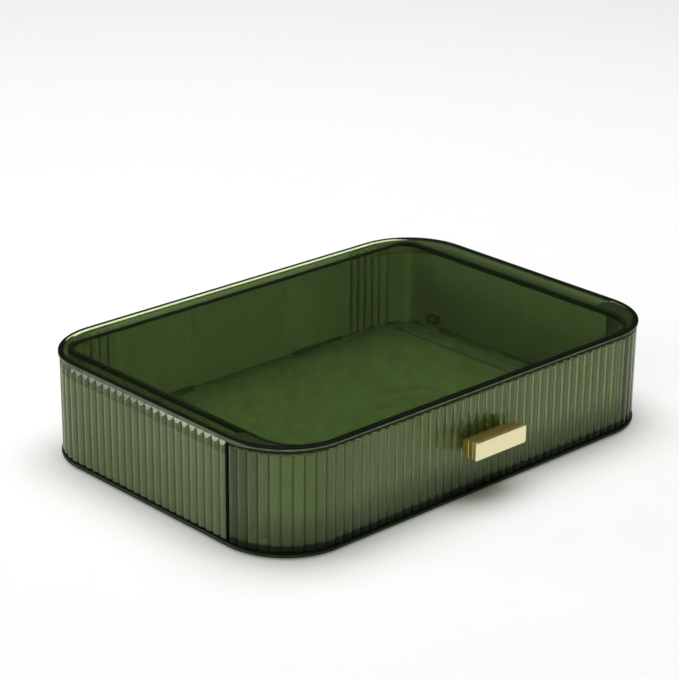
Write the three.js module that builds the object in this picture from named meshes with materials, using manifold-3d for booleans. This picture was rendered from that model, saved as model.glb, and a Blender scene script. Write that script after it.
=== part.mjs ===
import * as THREE from "three";
import { mergeVertices } from "three/addons/utils/BufferGeometryUtils.js";
import Module from "manifold-3d";

const wasm = await Module();
wasm.setup();

// A low desktop organizer of clear tinted plastic: a reeded case with one wide drawer.
// Millimetres, +Z up. The drawer opens towards -Y. The box of the whole object stands on z = 0.

// Case
const caseWidth = 300;
const caseDepth = 210;
const caseHeight = 62; // underside of the base plate to the top face
const cornerRadius = 40.5;
const topThickness = 2.6;
const baseThickness = 2.5;
const edgeRound = 0.5; // small rounding on the edges of the two plates
const edgeMiddleShare = 0.3; // how far in and how deep the middle of that rounding lies
const edgeSetback = 0.6; // the reeds' crests lie this far inside the plates' edges
const wallThickness = 2.2; // from the smooth inner face to the valleys between reeds
const backReedLength = 17.3; // the reeds run this far past each rear corner; the rest of the back is smooth
const glueGap = 0.3; // cement line between the wall and the plates

// Reeds
const reedPitch = 6.05;
const reedDepth = 1;
const caseReedEnd = 2.8; // height of the slope that ends a reed of the case below the top plate
const frontReedEnd = 1; // the same on the drawer front
const reedSteps = 4; // flats round one reed
const reedEndShares = [1, 0.75, 0]; // heights in the slope, which cuts the reed's depth to the same share

// Drawer
const seamGap = 1; // upright gap between the drawer front and the case wall
const frontTopGap = 0.8;
const frontBaseGap = 0.7;
const sideGap = 10.2; // between the tray and the inner faces of the case
const rearGap = 5.7; // between the tray and the inner face of the back wall
const trayCornerGap = 0.8; // between the tray's rear corners and the round corners of the case
const jointGap = 0.3; // between the tray and the back of the drawer front
const trayWall = 2.6;
const trayFloor = 2.2;

// Webs that close the drawer front's corners at the top
const webThickness = 2;
const webReach = 3; // behind the seam, inside the case
const webRound = 3; // rounding of the web's rear corner beside the tray
const webSideGap = 0.6;

// Runners, guides and stops on the base plate
const runnerHeight = 1;
const runnerWidth = 3;
const runnerInset = 14; // from the tray's side to the middle of the runner
const runnerEndGap = 6; // from the ends of the tray to the ends of the runner
const slideGap = 0.3; // between the tray and the runners
const guideGap = 0.5;
const guideThickness = 2;
const guideHeight = 5;
const postDepth = 4;
const postHeight = 16;
const postSetback = 2.5; // from the seam to the front of the stop post
const postWallGap = 0.5;
const stopGap = 0.3;
const rearStopThickness = 1.5;
const rearStopLength = 40;
const rearStopSpacing = 120;
const lugHeight = 5;
const lugLength = 8;
const lugReach = 4.5;
const lugLift = 1; // above the guides
const lugSetback = 20.2; // from the tray's rear to the lugs; it sets how far the drawer opens

// Handle, its base and its screws
const handleLength = 39.4;
const handleHeight = 10.4;
const handleReach = 11.8; // from the crests of the drawer front to the handle's face
const handleCentre = 31; // above the underside of the base plate
const handleFace = 2.4; // thickness of the face plate at the front of the bar
const handleStep = 1.1; // the bar behind the face plate is shorter by this at each end
const handleTopStep = 0.6; // and lower by this at the top and the bottom
const handleRound = 0.7;
const handleBaseThickness = 2.4;
const handleBaseStep = 0.8; // the base is smaller than the bar by this all round
const handleSeatGap = 0.3;
const screwInset = 7.5; // from the bar's ends to the middles of the screws
const screwRadius = 1.5;
const screwHoleGap = 0.3;
const screwDepth = 6; // length of screw inside the bar
const screwTipGap = 1;
const screwHeadRadius = 2.9;
const screwHeadHeight = 1.9;
const screwCrownShare = 0.7; // the flat of the head's crown
const crossWidth = 0.8;
const crossLength = 3.4;
const crossDepth = 1;
const washerRadius = 3.8;
const washerThickness = 0.6;
const washerGap = 0.1;

// Feet
const footRadius = 6;
const footDrop = 1; // height of the base plate above the table
const footRecess = 1;
const footRimGap = 0.3;
const footRound = 0.3;
const footInset = 27; // from the plate's edges to the middle of a foot

// Counts of flats
const cornerSteps = 12;
const wheelSteps = 20;

// Heights
const baseBottom = footDrop;
const baseTop = baseBottom + baseThickness;
const topFace = baseBottom + caseHeight;
const plateUnder = topFace - topThickness;
const wallBottom = baseTop + glueGap;
const wallTop = plateUnder - glueGap;
const frontBottom = baseTop + frontBaseGap;
const frontTop = plateUnder - frontTopGap;
const trayBottom = baseTop + runnerHeight + slideGap;
const trayFloorTop = trayBottom + trayFloor;
const handleHeightCentre = baseBottom + handleCentre;

// Plan: half widths and places along Y, with the middle of the case at 0
const halfWidth = caseWidth / 2;
const halfDepth = caseDepth / 2;
const valleyInset = edgeSetback + reedDepth;
const innerInset = valleyInset + wallThickness;
const valleyHalfWidth = halfWidth - valleyInset;
const valleyRadius = cornerRadius - valleyInset;
const innerHalfWidth = halfWidth - innerInset;
const innerRadius = cornerRadius - innerInset;
const cornerX = halfWidth - cornerRadius;
const frontCornerY = cornerRadius - halfDepth;
const rearCornerY = halfDepth - cornerRadius;
const seamFront = frontCornerY;
const seamRear = seamFront + seamGap;
const rearInnerY = rearCornerY + innerRadius;
const frontInnerY = frontCornerY - innerRadius;
const frontCrestY = frontCornerY - valleyRadius - reedDepth;
const trayHalfWidth = innerHalfWidth - sideGap;
const trayRadius = innerRadius - sideGap; // front corners
const trayFront = frontInnerY + jointGap;
const trayRear = rearInnerY - rearGap;
const trayInnerFront = trayFront + trayWall;
const trayRearRadius = radiusInside(innerRadius - sideGap, innerRadius - rearGap, innerRadius - trayCornerGap);

// The radius of a corner with sides at x and y that just touches a circle round the origin from inside
function radiusInside(x, y, circle) {
  const excess = x + y - circle;
  return excess - Math.sqrt(excess ** 2 - (x ** 2 + y ** 2 - circle ** 2));
}

function solidOf(geometry) {
  const bare = geometry.clone();
  bare.deleteAttribute("normal");
  bare.deleteAttribute("uv");
  const merged = mergeVertices(bare);
  const vertProperties = new Float32Array(merged.attributes.position.array);
  const triVerts = new Uint32Array(merged.index.array);
  return new wasm.Manifold(new wasm.Mesh({ numProp: 3, vertProperties, triVerts }));
}

function geometryOf(solid) {
  const mesh = solid.getMesh();
  const geometry = new THREE.BufferGeometry();
  geometry.setAttribute("position", new THREE.BufferAttribute(new Float32Array(mesh.vertProperties), 3));
  geometry.setIndex(new THREE.BufferAttribute(new Uint32Array(mesh.triVerts), 1));
  return geometry;
}

// A closed solid through rings of equal point counts, each ring level at its own height
function loft(rings) {
  const count = rings[0].points.length;
  const positions = rings.flatMap((ring) => ring.points.flatMap((p) => [p.x, p.y, ring.height]));
  const index = [];
  for (let level = 0; level + 1 < rings.length; level += 1) {
    for (let i = 0; i < count; i += 1) {
      const a = level * count + i;
      const b = level * count + ((i + 1) % count);
      index.push(a, b, b + count, a, b + count, a + count);
    }
  }
  const lid = (rings.length - 1) * count;
  for (const [a, b, c] of THREE.ShapeUtils.triangulateShape(rings[0].points, [])) index.push(c, b, a);
  for (const [a, b, c] of THREE.ShapeUtils.triangulateShape(rings[rings.length - 1].points, [])) {
    index.push(lid + a, lid + b, lid + c);
  }
  const geometry = new THREE.BufferGeometry();
  geometry.setAttribute("position", new THREE.Float32BufferAttribute(positions, 3));
  geometry.setIndex(index);
  return geometry;
}

function prism(points, bottom, top) {
  return loft([{ height: bottom, points }, { height: top, points }]);
}

function block(x, y, z) {
  const box = new THREE.BoxGeometry(x[1] - x[0], y[1] - y[0], z[1] - z[0]);
  return box.translate((x[0] + x[1]) / 2, (y[0] + y[1]) / 2, (z[0] + z[1]) / 2);
}

// A rectangle with round corners, counter-clockwise, between two places along X and two along Y
function roundedOutline(x, y, radius, rearRadius = radius) {
  const corners = [
    [x[1] - rearRadius, y[1] - rearRadius, rearRadius],
    [x[0] + rearRadius, y[1] - rearRadius, rearRadius],
    [x[0] + radius, y[0] + radius, radius],
    [x[1] - radius, y[0] + radius, radius],
  ];
  const points = [];
  corners.forEach(([cx, cy, reach], quarter) => {
    for (let i = 0; i <= cornerSteps; i += 1) {
      const angle = (quarter + i / cornerSteps) * (Math.PI / 2);
      points.push(new THREE.Vector2(cx + reach * Math.cos(angle), cy + reach * Math.sin(angle)));
    }
  });
  return points;
}

function plateOutline(inset) {
  const x = halfWidth - inset;
  const y = halfDepth - inset;
  return roundedOutline([-x, x], [-y, y], cornerRadius - inset);
}

function trayOutline(inset) {
  const x = trayHalfWidth - inset;
  const y = [trayFront + inset, trayRear - inset];
  return roundedOutline([-x, x], y, trayRadius - inset, trayRearRadius - inset);
}

// A point of a wall's valley line and its outward direction, at a distance along its stretches
function placeOnRun(run, distance) {
  let left = distance;
  for (const [i, piece] of run.entries()) {
    if (left <= piece.length || i === run.length - 1) return piece.place(left);
    left -= piece.length;
  }
  return null;
}

function straightRun(start, end, outward) {
  const length = start.distanceTo(end);
  return { length, place: (d) => ({ point: start.clone().lerp(end, d / length), outward }) };
}

function roundRun(centre, radius, startAngle, turn) {
  return {
    length: Math.abs(turn) * radius,
    place: (d) => {
      const angle = startAngle + Math.sign(turn) * (d / radius);
      const outward = new THREE.Vector2(Math.cos(angle), Math.sin(angle));
      return { point: centre.clone().addScaledVector(outward, radius), outward };
    },
  };
}

// The reeded side of a wall: whole reeds share the run's length, and none stands out past depthShare of the depth
function reededLine(run, depthShare) {
  const total = run.reduce((sum, piece) => sum + piece.length, 0);
  const reeds = Math.max(1, Math.round(total / reedPitch));
  const points = [];
  for (let i = 0; i <= reeds * reedSteps; i += 1) {
    const share = (i % reedSteps) / reedSteps;
    const lift = Math.min(4 * share * (1 - share), depthShare) * reedDepth;
    const { point, outward } = placeOnRun(run, (i / (reeds * reedSteps)) * total);
    points.push(point.clone().addScaledVector(outward, lift));
  }
  return points;
}

function mirrored(points) {
  return points.map((p) => new THREE.Vector2(-p.x, p.y)).reverse();
}

function quarterArc(cx, cy, radius, startAngle, turn) {
  const points = [];
  for (let i = 0; i <= cornerSteps; i += 1) {
    const angle = startAngle + (turn * i) / cornerSteps;
    points.push(new THREE.Vector2(cx + radius * Math.cos(angle), cy + radius * Math.sin(angle)));
  }
  return points;
}

function reededWall(outline, bottom, top, endHeight) {
  const rings = reedEndShares.map((share) => ({ height: top - share * endHeight, points: outline(share) }));
  return loft([{ height: bottom, points: outline(1) }, ...rings]);
}

// Case wall: left side, back and right side in one piece, reeded round both rear corners
function caseWallOutline(depthShare) {
  const right = reededLine(
    [
      straightRun(
        new THREE.Vector2(valleyHalfWidth, seamRear),
        new THREE.Vector2(valleyHalfWidth, rearCornerY),
        new THREE.Vector2(1, 0)
      ),
      roundRun(new THREE.Vector2(cornerX, rearCornerY), valleyRadius, 0, Math.PI / 2),
      straightRun(
        new THREE.Vector2(cornerX, rearCornerY + valleyRadius),
        new THREE.Vector2(cornerX - backReedLength, rearCornerY + valleyRadius),
        new THREE.Vector2(0, 1)
      ),
    ],
    depthShare
  );
  const innerLeft = [
    new THREE.Vector2(-innerHalfWidth, seamRear),
    ...quarterArc(-cornerX, rearCornerY, innerRadius, Math.PI, -Math.PI / 2),
  ];
  return [...right, ...mirrored(right), ...innerLeft, ...mirrored(innerLeft)];
}

function caseWall() {
  return reededWall(caseWallOutline, wallBottom, wallTop, caseReedEnd);
}

// Drawer front: one reeded wall that wraps both front corners, back to the seams
function frontOutline(depthShare) {
  const outer = reededLine(
    [
      roundRun(new THREE.Vector2(-cornerX, frontCornerY), valleyRadius, Math.PI, Math.PI / 2),
      straightRun(
        new THREE.Vector2(-cornerX, frontCornerY - valleyRadius),
        new THREE.Vector2(cornerX, frontCornerY - valleyRadius),
        new THREE.Vector2(0, -1)
      ),
      roundRun(new THREE.Vector2(cornerX, frontCornerY), valleyRadius, -Math.PI / 2, Math.PI / 2),
    ],
    depthShare
  );
  const innerRight = quarterArc(cornerX, frontCornerY, innerRadius, 0, -Math.PI / 2);
  return [...outer, ...innerRight, ...mirrored(innerRight)];
}

// Area inside the drawer front, back to the seams, closed half way into its wall
function frontFloorOutline() {
  const radius = innerRadius + wallThickness / 2;
  const left = quarterArc(-cornerX, frontCornerY, radius, Math.PI, Math.PI / 2);
  return [...left, ...mirrored(left)];
}

// The part of a web that reaches past the seam, with its rear corner rounded beside the tray
function lipOutline() {
  const outer = innerHalfWidth - webSideGap;
  const inner = trayHalfWidth + jointGap;
  const front = seamFront - webThickness / 2;
  const rear = seamFront + webReach;
  return [
    new THREE.Vector2(inner - jointGap, front),
    new THREE.Vector2(outer, front),
    new THREE.Vector2(outer, rear),
    ...quarterArc(inner + webRound, rear - webRound, webRound, Math.PI / 2, Math.PI / 2),
    new THREE.Vector2(inner - jointGap, rear - webRound),
  ];
}

function cornerWebs() {
  const bottom = frontTop - webThickness;
  const overlap = webThickness / 2;
  const fill = solidOf(prism(frontFloorOutline(), bottom, frontTop));
  const lips = [lipOutline(), mirrored(lipOutline())].map((points) => solidOf(prism(points, bottom, frontTop)));
  const trayHole = prism(trayOutline(-jointGap), bottom - overlap, frontTop + overlap);
  return fill.add(lips[0]).add(lips[1]).subtract(solidOf(trayHole));
}

function screwPlaces() {
  return [screwInset - handleLength / 2, handleLength / 2 - screwInset];
}

function screwHoles(from, to, radius) {
  const length = to - from;
  return screwPlaces().map((x) => {
    const bore = new THREE.CylinderGeometry(radius, radius, length, wheelSteps);
    return solidOf(bore.translate(x, from + length / 2, handleHeightCentre));
  });
}

function cut(solid, tools) {
  return tools.reduce((rest, tool) => rest.subtract(tool), solid);
}

function drawerFront() {
  const wall = solidOf(reededWall(frontOutline, frontBottom, frontTop, frontReedEnd));
  const whole = wall.add(cornerWebs());
  const holes = screwHoles(frontCrestY - reedDepth, trayFront, screwRadius + screwHoleGap);
  return geometryOf(cut(whole, holes));
}

// Tray with its two stop lugs
const guideTop = baseTop + guideHeight;
const lugBottom = guideTop + lugLift;
const postFront = seamRear + postSetback;
const postRear = postFront + postDepth;
const lugFront = trayRear - lugSetback - lugLength;
const drawerTravel = lugFront - stopGap - postRear;
const lugOuter = trayHalfWidth + lugReach;

function drawerTray() {
  const shell = solidOf(prism(trayOutline(0), trayBottom, frontTop));
  const lugs = block(
    [-lugOuter, lugOuter],
    [lugFront, lugFront + lugLength],
    [lugBottom, lugBottom + lugHeight]
  );
  const hollow = solidOf(prism(trayOutline(trayWall), trayFloorTop, frontTop + trayWall));
  const whole = shell.add(solidOf(lugs)).subtract(hollow);
  const holes = screwHoles(trayFront - jointGap, trayInnerFront + jointGap, screwRadius + screwHoleGap);
  return geometryOf(cut(whole, holes));
}

// Plates
function topPlate() {
  const edgeMiddle = edgeRound * edgeMiddleShare;
  return loft([
    { height: plateUnder, points: plateOutline(edgeRound / 2) },
    { height: plateUnder + edgeRound / 2, points: plateOutline(0) },
    { height: topFace - edgeRound, points: plateOutline(0) },
    { height: topFace - edgeMiddle, points: plateOutline(edgeMiddle) },
    { height: topFace, points: plateOutline(edgeRound) },
  ]);
}

function bothSides(makeBox) {
  return [-1, 1].map((side) => {
    const [x, y, z] = makeBox();
    return block(side > 0 ? x : [-x[1], -x[0]], y, z);
  });
}

function basePlate() {
  const slab = loft([
    { height: baseBottom, points: plateOutline(edgeRound) },
    { height: baseBottom + edgeRound, points: plateOutline(0) },
    { height: baseTop, points: plateOutline(0) },
  ]);
  const root = baseTop - baseThickness / 2;
  const runnerMiddle = trayHalfWidth - runnerInset;
  const guideInner = trayHalfWidth + guideGap;
  const ribs = [
    ...bothSides(() => [
      [runnerMiddle - runnerWidth / 2, runnerMiddle + runnerWidth / 2],
      [trayFront + runnerEndGap, trayRear - runnerEndGap],
      [root, baseTop + runnerHeight],
    ]),
    ...bothSides(() => [
      [guideInner, guideInner + guideThickness],
      [postFront, rearCornerY],
      [root, guideTop],
    ]),
    ...bothSides(() => [
      [guideInner, innerHalfWidth - postWallGap],
      [postFront, postRear],
      [root, baseTop + postHeight],
    ]),
    ...bothSides(() => [
      [(rearStopSpacing - rearStopLength) / 2, (rearStopSpacing + rearStopLength) / 2],
      [trayRear + stopGap, trayRear + stopGap + rearStopThickness],
      [root, guideTop],
    ]),
  ];
  const withRibs = ribs.reduce((sum, rib) => sum.add(solidOf(rib)), solidOf(slab));
  const recesses = footPlaces().map(([x, y]) => {
    const height = footRecess + footDrop;
    const radius = footRadius + footRimGap;
    const recess = new THREE.CylinderGeometry(radius, radius, height, wheelSteps);
    return solidOf(recess.rotateX(Math.PI / 2).translate(x, y, height / 2));
  });
  return geometryOf(cut(withRibs, recesses));
}

// Feet
function footPlaces() {
  const x = halfWidth - footInset;
  const y = halfDepth - footInset;
  return [[-x, -y], [x, -y], [-x, y], [x, y]];
}

function foot([x, y]) {
  const height = footDrop + footRecess - glueGap;
  const profile = [
    new THREE.Vector2(0, 0),
    new THREE.Vector2(footRadius - footRound, 0),
    new THREE.Vector2(footRadius, footRound),
    new THREE.Vector2(footRadius, height),
    new THREE.Vector2(0, height),
  ];
  return new THREE.LatheGeometry(profile, wheelSteps).rotateX(Math.PI / 2).translate(x, y, 0);
}

// Handle: outlines in X and Z, lofted along -Y
function handleOutline(x, z, round) {
  return [
    new THREE.Vector2(x - round, z),
    new THREE.Vector2(-x + round, z),
    new THREE.Vector2(-x, z - round),
    new THREE.Vector2(-x, -z + round),
    new THREE.Vector2(-x + round, -z),
    new THREE.Vector2(x - round, -z),
    new THREE.Vector2(x, -z + round),
    new THREE.Vector2(x, z - round),
  ];
}

function alongFront(rings) {
  return loft(rings).rotateX(Math.PI / 2).translate(0, 0, handleHeightCentre);
}

const handleBack = -frontCrestY + handleSeatGap;
const barBack = handleBack + handleBaseThickness + handleSeatGap;
const barFront = -frontCrestY + handleReach;

function handleBase() {
  const x = handleLength / 2 - handleStep - handleBaseStep;
  const z = handleHeight / 2 - handleTopStep - handleBaseStep;
  const points = handleOutline(x, z, handleRound);
  const front = handleBack + handleBaseThickness;
  const plate = alongFront([{ height: handleBack, points }, { height: front, points }]);
  const holes = screwHoles(-front - handleSeatGap, -handleBack + handleSeatGap, screwRadius + screwHoleGap);
  return geometryOf(cut(solidOf(plate), holes));
}

function handleBar() {
  const x = handleLength / 2;
  const z = handleHeight / 2;
  const faceBack = barFront - handleFace;
  const neck = handleOutline(x - handleStep, z - handleTopStep, handleRound);
  const face = handleOutline(x, z, handleRound);
  const bevel = handleRound / 2;
  const bevelled = handleOutline(x - bevel, z - bevel, handleRound);
  const bar = alongFront([
    { height: barBack, points: neck },
    { height: faceBack - handleStep / 2, points: neck },
    { height: faceBack, points: face },
    { height: barFront - bevel, points: face },
    { height: barFront, points: bevelled },
  ]);
  const bottom = -barBack - screwDepth - screwTipGap;
  const holes = screwHoles(bottom, -barBack + handleSeatGap, screwRadius + screwHoleGap);
  return geometryOf(cut(solidOf(bar), holes));
}

// Screws and washers, from inside the tray; the lathe's own axis lies along Y
const washerBack = trayInnerFront + washerGap;
const headSeat = washerBack + washerThickness + washerGap;

function screw(x) {
  const tip = -barBack - screwDepth;
  const profile = [
    new THREE.Vector2(0, tip),
    new THREE.Vector2(screwRadius / 2, tip),
    new THREE.Vector2(screwRadius, tip + screwRadius / 2),
    new THREE.Vector2(screwRadius, headSeat),
    new THREE.Vector2(screwHeadRadius, headSeat),
    new THREE.Vector2(screwHeadRadius, headSeat + screwHeadHeight / 2),
    new THREE.Vector2(screwHeadRadius * screwCrownShare, headSeat + screwHeadHeight),
    new THREE.Vector2(0, headSeat + screwHeadHeight),
  ];
  const body = solidOf(new THREE.LatheGeometry(profile, wheelSteps));
  const y = [headSeat + screwHeadHeight - crossDepth, headSeat + screwHeadHeight + crossDepth];
  const long = [-crossLength / 2, crossLength / 2];
  const narrow = [-crossWidth / 2, crossWidth / 2];
  const cross = [solidOf(block(long, y, narrow)), solidOf(block(narrow, y, long))];
  return geometryOf(cut(body, cross)).translate(x, 0, handleHeightCentre);
}

function washer(x) {
  const bore = screwRadius + screwHoleGap;
  const profile = [
    new THREE.Vector2(bore, washerBack),
    new THREE.Vector2(washerRadius, washerBack),
    new THREE.Vector2(washerRadius, washerBack + washerThickness),
    new THREE.Vector2(bore, washerBack + washerThickness),
    new THREE.Vector2(bore, washerBack),
  ];
  return new THREE.LatheGeometry(profile, wheelSteps).translate(x, 0, handleHeightCentre);
}

// Materials
function plastic(color, opacity) {
  const look = { color, roughness: 0.08, metalness: 0, transparent: true, opacity };
  return new THREE.MeshStandardMaterial(look);
}

const casePlastic = plastic(0x5f7048, 0.5);
const trayPlastic = plastic(0x66774d, 0.45);
const brass = new THREE.MeshStandardMaterial({ color: 0xd8c48a, roughness: 0.22, metalness: 1 });
const brassBack = new THREE.MeshStandardMaterial({ color: 0xb59a58, roughness: 0.3, metalness: 1 });
const steel = new THREE.MeshStandardMaterial({ color: 0xb9bbbd, roughness: 0.3, metalness: 1 });
const silicone = new THREE.MeshStandardMaterial({ color: 0xd9dcd6, roughness: 0.6, metalness: 0 });

// Assembly: the middle of the whole box, handle included, is at the origin
const organizer = new THREE.Group();
organizer.name = "organizer";
const carcass = new THREE.Group();
const drawer = new THREE.Group();
carcass.position.y = (barFront - halfDepth) / 2;
drawer.position.y = carcass.position.y;
drawer.userData.travel = drawerTravel; // along -Y, until the lugs meet the posts
organizer.add(carcass, drawer);

function addPiece(group, name, geometry, material) {
  const mesh = new THREE.Mesh(geometry, material);
  mesh.name = name;
  group.add(mesh);
}

addPiece(carcass, "top_plate", topPlate(), casePlastic);
addPiece(carcass, "case_wall", caseWall(), casePlastic);
addPiece(carcass, "base_plate", basePlate(), casePlastic);
const footNames = ["foot_front_left", "foot_front_right", "foot_rear_left", "foot_rear_right"];
footPlaces().forEach((place, i) => addPiece(carcass, footNames[i], foot(place), silicone));

addPiece(drawer, "drawer_tray", drawerTray(), trayPlastic);
addPiece(drawer, "drawer_front", drawerFront(), trayPlastic);
addPiece(drawer, "handle_base", handleBase(), brassBack);
addPiece(drawer, "handle_bar", handleBar(), brass);
screwPlaces().forEach((x, i) => {
  const side = ["left", "right"][i];
  addPiece(drawer, `handle_screw_${side}`, screw(x), steel);
  addPiece(drawer, `handle_washer_${side}`, washer(x), steel);
});

export default organizer;
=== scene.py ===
import bpy
import math
from mathutils import Matrix, Vector


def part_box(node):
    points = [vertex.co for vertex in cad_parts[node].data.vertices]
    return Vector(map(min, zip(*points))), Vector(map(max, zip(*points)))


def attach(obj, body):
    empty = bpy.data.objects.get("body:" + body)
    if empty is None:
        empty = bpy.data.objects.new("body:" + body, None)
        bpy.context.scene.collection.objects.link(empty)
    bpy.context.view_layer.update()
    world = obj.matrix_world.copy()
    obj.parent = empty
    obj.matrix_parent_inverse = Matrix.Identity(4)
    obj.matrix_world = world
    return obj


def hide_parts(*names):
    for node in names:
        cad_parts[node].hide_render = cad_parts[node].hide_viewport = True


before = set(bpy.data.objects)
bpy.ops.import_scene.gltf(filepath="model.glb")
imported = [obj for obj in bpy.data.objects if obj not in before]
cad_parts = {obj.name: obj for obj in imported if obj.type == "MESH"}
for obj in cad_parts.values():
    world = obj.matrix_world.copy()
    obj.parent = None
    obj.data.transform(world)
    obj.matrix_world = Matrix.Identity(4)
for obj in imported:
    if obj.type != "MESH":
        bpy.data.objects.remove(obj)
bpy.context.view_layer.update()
mm = 0.001

topLow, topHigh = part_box("top_plate")
baseLow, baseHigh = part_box("base_plate")
wallLow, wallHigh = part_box("case_wall")
frontLow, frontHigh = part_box("drawer_front")
trayLow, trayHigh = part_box("drawer_tray")
barLow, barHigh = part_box("handle_bar")

footNodes = ["foot_front_left", "foot_front_right", "foot_rear_left", "foot_rear_right"]
screwNodes = ["handle_screw_left", "handle_screw_right"]
washerNodes = ["handle_washer_left", "handle_washer_right"]
screwLow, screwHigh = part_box(screwNodes[1])
screwSizes = {
    "spacing": screwLow.x + screwHigh.x,
    "height": (screwLow.z + screwHigh.z) / 2,
    "bore": (1.8 * mm, 32),  # radius, flats
}

# What the walls and plates of the case and the drawer share
caseSizes = {
    "cornerRadius": 40.5 * mm,
    "edgeSetback": 0.6 * mm,  # from the plates' edges to the reeds' crests
    "wall": 2.2 * mm,
    "reedDepth": 1 * mm,
    "reedPitch": 6.05 * mm,
    "reedFlats": 10,
    "plateEdge": (0.7 * mm, 4),  # radius, flats
    "cornerFlats": 28,
}
reedAngle, plateAngle = math.radians(14), math.radians(40)  # edges sharper than these stay sharp
sliver = 0.001 * mm  # points closer than this are merged
nearly = 0.01 * mm  # heights and seams closer than this count as one


# Selecting and shaping

def only(piece):
    bpy.ops.object.select_all(action="DESELECT")
    piece.select_set(True)
    bpy.context.view_layer.objects.active = piece


def pick(piece, kind, wanted):
    # leaves the piece in edit mode with just the wanted vertices, edges or faces selected
    only(piece)
    bpy.ops.object.mode_set(mode="EDIT")
    bpy.ops.mesh.select_mode(type=kind)
    bpy.ops.mesh.select_all(action="DESELECT")
    bpy.ops.object.mode_set(mode="OBJECT")
    mesh = piece.data
    parts = {"VERT": mesh.vertices, "EDGE": mesh.edges, "FACE": mesh.polygons}[kind]
    for part in parts:
        part.select = wanted(part)
    bpy.ops.object.mode_set(mode="EDIT")


def pickAll(piece):
    only(piece)
    bpy.ops.object.mode_set(mode="EDIT")
    bpy.ops.mesh.select_all(action="SELECT")


def done():
    bpy.ops.object.mode_set(mode="OBJECT")


def ends(piece, edge):
    return [piece.data.vertices[i].co for i in edge.vertices]


def middle(piece, edge):
    a, b = ends(piece, edge)
    return (a + b) / 2


def isUpright(piece, edge):
    # steeper than two in one
    a, b = ends(piece, edge)
    return abs(a.z - b.z) > 2 * (Vector((a.x, a.y)) - Vector((b.x, b.y))).length


def settle(name):
    # the new primitive gets its name, and its place goes into its mesh
    piece = bpy.context.object
    piece.name = name
    piece.data.name = name
    bpy.ops.object.transform_apply(location=True, rotation=True, scale=True)
    return piece


def block(name, low, high):
    bpy.ops.object.select_all(action="DESELECT")
    bpy.ops.mesh.primitive_cube_add(size=1, location=(Vector(low) + Vector(high)) / 2)
    bpy.context.object.scale = Vector(high) - Vector(low)
    return settle(name)


def drum(name, centre, radius, length, flats, axis="Z"):
    turn = {"Z": (0, 0, 0), "Y": (math.pi / 2, 0, 0)}[axis]
    bpy.ops.object.select_all(action="DESELECT")
    bpy.ops.mesh.primitive_cylinder_add(
        vertices=flats, radius=radius, depth=length, location=centre, rotation=turn
    )
    return settle(name)


def bevel(radius, flats):
    bpy.ops.mesh.bevel(offset=radius, offset_type="OFFSET", segments=flats, affect="EDGES")
    done()


def roundUprights(piece, radius, flats, wanted=lambda at: True):
    pick(piece, "EDGE", lambda e: isUpright(piece, e) and wanted(middle(piece, e)))
    bevel(radius, flats)


def roundSharp(piece, radius, flats, angle=math.radians(50), wanted=lambda at: True):
    only(piece)
    bpy.ops.object.mode_set(mode="EDIT")
    bpy.ops.mesh.select_mode(type="EDGE")
    bpy.ops.mesh.select_all(action="DESELECT")
    bpy.ops.mesh.edges_select_sharp(sharpness=angle)
    done()
    chosen = {e.index for e in piece.data.edges if e.select and wanted(middle(piece, e))}
    pick(piece, "EDGE", lambda e: e.index in chosen)
    bevel(radius, flats)


def combine(piece, tool, operation):
    only(piece)
    bpy.ops.object.modifier_add(type="BOOLEAN")
    step = piece.modifiers[-1]
    step.operation = operation
    step.object = tool
    step.solver = "EXACT"
    bpy.ops.object.modifier_apply(modifier=step.name)
    bpy.data.objects.remove(tool, do_unlink=True)


def smooth(piece, angle=reedAngle):
    pickAll(piece)
    bpy.ops.mesh.remove_doubles(threshold=sliver)
    bpy.ops.mesh.normals_make_consistent(inside=False)
    done()
    bpy.ops.object.shade_smooth_by_angle(angle=angle)
    bpy.ops.object.modifier_add(type="WEIGHTED_NORMAL")
    flats = piece.modifiers[-1]
    flats.keep_sharp = True
    bpy.ops.object.modifier_apply(modifier=flats.name)


# Reeded walls: one reed with its share of the wall, repeated along a path in plan

def planPath(name, points):
    # each point is a handle, a place and a handle in plan; the wall's outer side lies left of the way
    bpy.ops.object.select_all(action="DESELECT")
    bpy.ops.curve.primitive_bezier_curve_add(location=(0, 0, 0))
    path = bpy.context.object
    path.name = name
    path.data.dimensions = "2D"
    path.data.resolution_u = 40
    spline = path.data.splines[0]
    spline.bezier_points.add(len(points) - len(spline.bezier_points))
    for knot, (before, at, after) in zip(spline.bezier_points, points):
        knot.handle_left_type = knot.handle_right_type = "FREE"
        knot.handle_left = (*before, 0)
        knot.co = (*at, 0)
        knot.handle_right = (*after, 0)
    return path


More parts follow.
